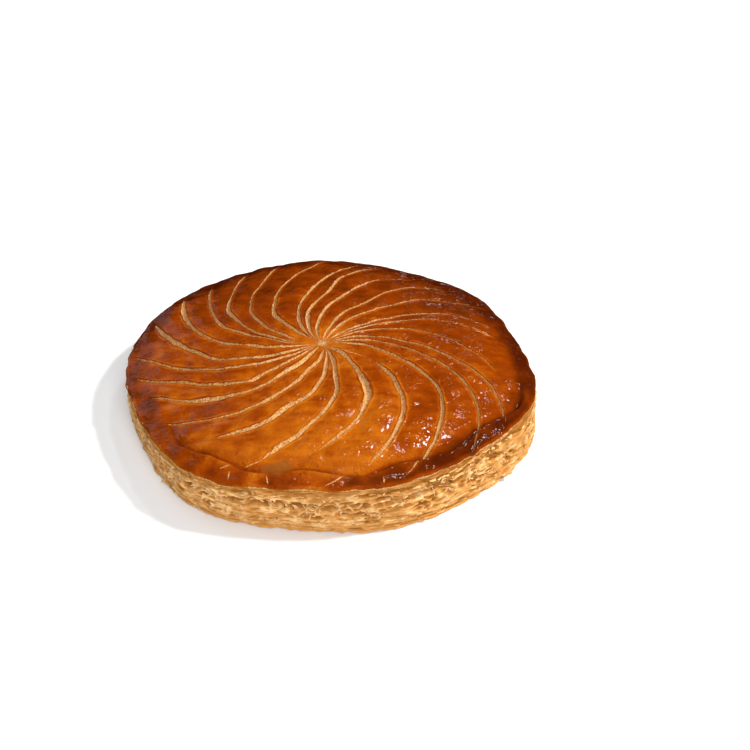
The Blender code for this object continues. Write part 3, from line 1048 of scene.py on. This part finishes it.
def make_wall(sizes, colours):
    """Model the wall: many thin layers, some of them opened by pockets of air."""
    form = spun(wall_section(sizes), WALL_COLUMNS, closed=True)
    blank = places_of(form)
    _, angle, distance = polar(blank, WALL_COLUMNS)
    inner = distance < sizes.radius - 0.001
    share = blank[:, 2] / sizes.rim_height
    relief, hollow, layer_toast, grain = wall_relief(sizes, angle, blank[:, 2])
    top = ease(0.90, 1.0, share)
    radius = wall_radius(sizes, angle, share) + relief * (1.0 - 0.8 * top) - 0.0001 - 0.0001 * top
    radius = np.where(inner, sizes.radius - WALL_THICKNESS, radius)
    height = WALL_FOOT + share * (wall_top(sizes, angle) - WALL_FOOT)
    places = about_cake(radius, angle, height)
    # A painted shadow darkens the band of wall just under the glaze's overhanging edge.
    toast = layer_toast + 0.35 * bell(height, 0.0030) + 0.80 * ease(0.76, 0.88, share)
    toast += 0.30 * ease(0.2, 1.0, np.cos(angle + math.radians(30.0)))
    features = {"hollow": hollow, "toast": toast, "grain": grain}
    finish_piece("flaky_wall", form, places, features, pastry(colours))


def leaf_section(thickness):
    """Closed cross-section of one leaf with a rounded nose: depth behind it, and height."""
    nose = ((0.0, 0.28), (0.0005, 0.48), (0.0020, 0.50), (0.0060, 0.40))
    upper = [(-depth, thickness * half) for depth, half in nose]
    lower = [(-depth, -thickness * half) for depth, half in reversed(nose)]
    return upper + lower


def make_leaf(sizes, number):
    """One leaf that runs round the wall, ragged, buckled, and parted from its neighbour at pockets."""
    seam, place = LEAVES[number]
    level = place if seam is None else SEAMS[seam].level
    section = [(sizes.radius + depth, height) for depth, height in leaf_section(sizes.leaf_thickness)]
    form = spun(section, LEAF_COLUMNS, closed=True)
    blank = places_of(form)
    _, angle, distance = polar(blank, LEAF_COLUMNS)
    depth = sizes.radius - distance
    outer = 1.0 - ease(0.0, 0.0040, depth)
    share = level / sizes.rim_height
    height = level + 0.0009 * round_noise(sizes, angle, 0.014, 60.0 + 3.1 * number)
    if seam is not None:
        half, drift = opening(sizes, angle, seam)
        height = level + drift + place * (half + 0.0002)
    curl = 0.0007 * round_noise(sizes, angle, 0.0065, 80.0 + 2.7 * number)
    curl += 0.0004 * round_noise(sizes, angle, 0.0020, 82.0 + 2.3 * number)
    thickness = 1.0 + 0.7 * round_noise(sizes, angle, 0.0080, 85.0 + 1.9 * number)
    height = height + outer * curl + blank[:, 2] * thickness
    ragged = 0.0009 * round_noise(sizes, angle, 0.0060, 90.0 + 5.9 * number)
    ragged += 0.0009 * round_noise(sizes, angle, 0.0020, 95.0 + 4.1 * number)
    torn = ease(-0.12, 0.02, round_noise(sizes, angle, 0.0065, 100.0 + 6.7 * number))
    radius = wall_radius(sizes, angle, share) - depth + (ragged + 0.0004) * outer - LEAF_TEAR * torn
    places = about_cake(radius, angle, height * wall_top(sizes, angle) / sizes.rim_height)
    toast = 0.45 * outer * (round_noise(sizes, angle, 0.012, 110.0 + number) - 0.4)
    # Painted shade: the leaf darkens where it recedes into the wall behind its nose.
    hollow = 0.8 * ease(0.0008, 0.0045, depth + LEAF_TEAR * torn)
    return form, places, toast, hollow


def make_leaves(sizes, colours):
    """Model all the leaves that stand out of the wall, as one piece."""
    leaves = [make_leaf(sizes, number) for number in range(len(LEAVES))]
    forms, parts, toasts, hollow_tints_and_shades = zip(*leaves)
    places = np.concatenate(parts)
    features = {"hollow": np.concatenate(hollow_tints_and_shades), "toast": np.concatenate(toasts), "grain": places}
    finish_piece("pastry_leaves", joined(forms), places, features, pastry(colours))


def base_section(sizes):
    """Half section of the base: across the bottom, round its edge and back over the top."""
    bottom = [(sizes.radius * ring / BASE_RINGS, 0.0) for ring in range(BASE_RINGS + 1)]
    edge = [(sizes.radius, BASE_STEP * row) for row in range(1, BASE_ROWS + 1)]
    top = BASE_STEP * BASE_ROWS
    return bottom + edge + [(sizes.radius - 0.010, top), (0.0, top)]


def make_base(sizes, colours):
    """Model the browned base, flat where it rests and ragged at its edge."""
    form = spun(base_section(sizes), BASE_COLUMNS, closed=False)
    blank = places_of(form)
    _, angle, distance = polar(blank, BASE_COLUMNS)
    edge = ease(0.90, 1.0, distance / sizes.radius)
    ragged = 0.0016 * round_noise(sizes, angle, 0.010, 130.0)
    ragged += 0.0010 * round_noise(sizes, angle, 0.0034, 140.0)
    rounding = 0.0010 * np.abs(blank[:, 2] / 0.0010 - 1.0) ** 2.2
    target = wall_radius(sizes, angle, blank[:, 2] / sizes.rim_height) + 0.0008 + ragged - rounding * edge
    radius = distance * (target / sizes.radius)
    x = radius * np.cos(angle)
    y = radius * np.sin(angle)
    blister = np.clip(lumps(x, y, 1.5, 0.012), 0.0, 1.0) * (blank[:, 2] < 0.0001) * (1.0 - edge)
    height = blank[:, 2] + 0.0006 * blister
    places = np.stack((x, y, height), axis=-1)
    features = {"edge": edge * ease(0.0, 0.0006, blank[:, 2])}
    finish_piece("baked_base", form, places, features, baked_bottom(colours))


def flake(draw, length, width, bend):
    """One torn flake: a thin ragged sheet that narrows to a point and bows outwards."""
    form = bmesh.new()
    bmesh.ops.create_grid(form, x_segments=3, y_segments=5, size=0.5)
    for vertex in form.verts:
        along = vertex.co.y + 0.5
        taper = 1.0 - along**1.3 * 0.92
        across = (vertex.co.x + draw.uniform(-0.12, 0.12)) * width * taper
        rise = (along + draw.uniform(-0.06, 0.06)) * length
        vertex.co = Vector((across, bend * along * along + draw.uniform(-0.0001, 0.0001), rise))
    bmesh.ops.solidify(form, geom=form.faces, thickness=FLAKE_THICKNESS)
    return form


def place_flake(sizes, form, angle, level, lean, outward):
    """Stand a flake on the wall, leaning sideways along the wall and outwards from it."""
    around = np.array([angle])
    radius = float(wall_radius(sizes, around, level / sizes.rim_height)[0]) - 0.0002
    seat = Matrix.Translation((radius * math.cos(angle), radius * math.sin(angle), level))
    turn = Matrix.Rotation(angle - math.pi / 2.0, 4, "Z")
    tilt = Matrix.Rotation(lean, 4, "Y") @ Matrix.Rotation(-outward, 4, "X")
    bmesh.ops.transform(form, matrix=seat @ turn @ tilt, verts=form.verts)


def web_flakes(sizes, draw):
    """Stars of thin strands, torn across the ends of a seam's pockets."""
    for number, seam in enumerate(SEAMS):
        for end, share in zip(*pockets(sizes, number)):
            if share == 0.0:
                continue
            drift = opening(sizes, np.array([end]), number)[1][0]
            angle = end + draw.uniform(-0.0025, 0.0025) / sizes.radius
            level = max(seam.level + drift + draw.uniform(-0.5, 0.5) * seam.half_height, 0.0015)
            first_lean = draw.uniform(0.0, 2.0 * math.pi)
            for strand in range(3 if number == 0 else 2):
                length = 0.0010 + seam.half_height * draw.uniform(0.5, 1.5)
                form = flake(draw, length, draw.uniform(0.0006, 0.0013), draw.uniform(0.0, 0.0005))
                lean = first_lean + 1.7 * strand + draw.uniform(-0.5, 0.5)
                place_flake(sizes, form, angle, level, lean, draw.uniform(-0.05, 0.15))
                yield form


def loose_flakes(sizes, draw):
    """Small flakes scattered anywhere on the wall."""
    for _ in range(sizes.flakes):
        length = draw.uniform(*FLAKE_LENGTHS)
        width = draw.uniform(*FLAKE_WIDTHS)
        form = flake(draw, length, width, draw.uniform(0.0, 0.0006))
        lean = draw.uniform(-1.5, 1.5) + math.pi * draw.integers(2)
        angle = draw.uniform(-math.pi, math.pi)
        place_flake(sizes, form, angle, draw.uniform(*FLAKE_LEVELS), lean, draw.uniform(0.0, 0.2))
        yield form


def tatters(sizes, draw):
    """The large torn flakes that show one by one."""
    for tatter in TATTERS:
        form = flake(draw, tatter.length, tatter.width, 0.0006)
        place_flake(sizes, form, math.radians(tatter.bearing), tatter.level, tatter.lean, tatter.outward)
        yield form


def make_flakes(sizes, colours):
    """Model the torn flakes of the wall, as one piece."""
    draw = np.random.default_rng(FLAKE_SEED)
    whole = joined((*web_flakes(sizes, draw), *loose_flakes(sizes, draw), *tatters(sizes, draw)))
    places = places_of(whole)
    places[:, 2] = np.maximum(places[:, 2], 0.0006)
    features = {"hollow": np.zeros(len(places)), "toast": np.full(len(places), -0.35), "grain": places}
    finish_piece("torn_flakes", whole, places, features, pastry(colours))


def make_floor(colours):
    """A wide pale floor."""
    form = bmesh.new()
    bmesh.ops.create_grid(form, x_segments=8, y_segments=8, size=FLOOR_SIZE)
    mesh = bpy.data.meshes.new("floor")
    form.to_mesh(mesh)
    form.free()
    mesh.materials.append(floor_paint(colours))
    floor = bpy.data.objects.new("floor", mesh)
    bpy.context.scene.collection.objects.link(floor)
    floor.visible_glossy = False


def standing_off(target, direction, distance):
    """Where something stands that looks back at a target from a direction and a distance."""
    turn = direction.to_track_quat("Z", "Y").to_matrix().to_4x4()
    return Matrix.Translation(target + direction * distance) @ turn


def make_camera():
    """Camera at the angle from which the cake is seen."""
    elevation = math.radians(CAMERA_ELEVATION)
    direction = Vector((0.0, -math.cos(elevation), math.sin(elevation)))
    camera = bpy.data.cameras.new("camera")
    camera.lens = CAMERA_LENS
    camera.sensor_width = SENSOR_WIDTH
    seat = bpy.data.objects.new("camera", camera)
    roll = Matrix.Rotation(math.radians(CAMERA_ROLL), 4, "Z")
    seat.matrix_world = standing_off(Vector(CAMERA_TARGET), direction, CAMERA_DISTANCE) @ roll
    bpy.context.scene.collection.objects.link(seat)
    bpy.context.scene.camera = seat


def add_softbox(softbox):
    """Add one soft light, which shines on the cake and may show in its glaze."""
    light = bpy.data.lights.new(softbox.name, "AREA")
    light.shape = "SQUARE"
    light.size = softbox.size
    light.energy = softbox.power
    light.color = softbox.tint
    box = bpy.data.objects.new(softbox.name, light)
    box.visible_glossy = softbox.mirrored
    direction = Vector(softbox.direction).normalized()
    box.matrix_world = standing_off(Vector(), direction, softbox.distance)
    bpy.context.scene.collection.objects.link(box)


def light_studio():
    """A key light high on the right, soft fills, and lights that glint in the glaze, in a pale room."""
    for softbox in SOFTBOXES:
        add_softbox(softbox)
    world = bpy.data.worlds.new("white_room")
    world.use_nodes = True
    world.cycles_visibility.glossy = False
    background = world.node_tree.nodes["Background"]
    background.inputs["Color"].default_value = ROOM_TINT
    background.inputs["Strength"].default_value = ROOM_BRIGHTNESS
    bpy.context.scene.world = world
    bpy.context.scene.view_settings.view_transform = "Standard"


class GALETTE_OT_lid(bpy.types.Operator):
    """Model and glaze the scored lid"""

    bl_idname = "galette.lid"
    bl_label = "Glazed lid"

    def execute(self, context):
        lid = make_lid(context.scene.cake_sizes, context.scene.cake_colours)
        make_strokes(context.scene.cake_colours, lid)
        return {"FINISHED"}


class GALETTE_OT_wall(bpy.types.Operator):
    """Model the flaky wall, its leaves and its torn flakes"""

    bl_idname = "galette.wall"
    bl_label = "Flaky wall"

    def execute(self, context):
        make_wall(context.scene.cake_sizes, context.scene.cake_colours)
        make_leaves(context.scene.cake_sizes, context.scene.cake_colours)
        make_flakes(context.scene.cake_sizes, context.scene.cake_colours)
        return {"FINISHED"}


class GALETTE_OT_base(bpy.types.Operator):
    """Model the browned base"""

    bl_idname = "galette.base"
    bl_label = "Baked base"

    def execute(self, context):
        make_base(context.scene.cake_sizes, context.scene.cake_colours)
        return {"FINISHED"}


class GALETTE_OT_stage(bpy.types.Operator):
    """Set up the floor, the lights and the camera"""

    bl_idname = "galette.stage"
    bl_label = "Floor, lights and camera"

    def execute(self, context):
        make_floor(context.scene.cake_colours)
        make_camera()
        light_studio()
        return {"FINISHED"}


class GALETTE_PT_panel(bpy.types.Panel):
    """Sizes and colours of the cake, and the steps that make it"""

    bl_label = "Galette des rois"
    bl_space_type = "VIEW_3D"
    bl_region_type = "UI"
    bl_category = "Galette"

    def draw(self, context):
        for group in (context.scene.cake_sizes, context.scene.cake_colours):
            box = self.layout.box()
            for name in group.__annotations__:
                box.prop(group, name)
        for operator in OPERATORS:
            self.layout.operator(operator.bl_idname)


OPERATORS = (GALETTE_OT_stage, GALETTE_OT_lid, GALETTE_OT_wall, GALETTE_OT_base)
CLASSES = (CakeSizes, CakeColours, *OPERATORS, GALETTE_PT_panel)


def register():
    for kind in CLASSES:
        bpy.utils.register_class(kind)
    bpy.types.Scene.cake_sizes = PointerProperty(type=CakeSizes)
    bpy.types.Scene.cake_colours = PointerProperty(type=CakeColours)


def unregister():
    del bpy.types.Scene.cake_colours
    del bpy.types.Scene.cake_sizes
    for kind in reversed(CLASSES):
        bpy.utils.unregister_class(kind)


def main():
    """Make every piece and the stage."""
    register()
    bpy.ops.galette.stage()
    bpy.ops.galette.lid()
    bpy.ops.galette.wall()
    bpy.ops.galette.base()


if __name__ == "__main__":
    main()
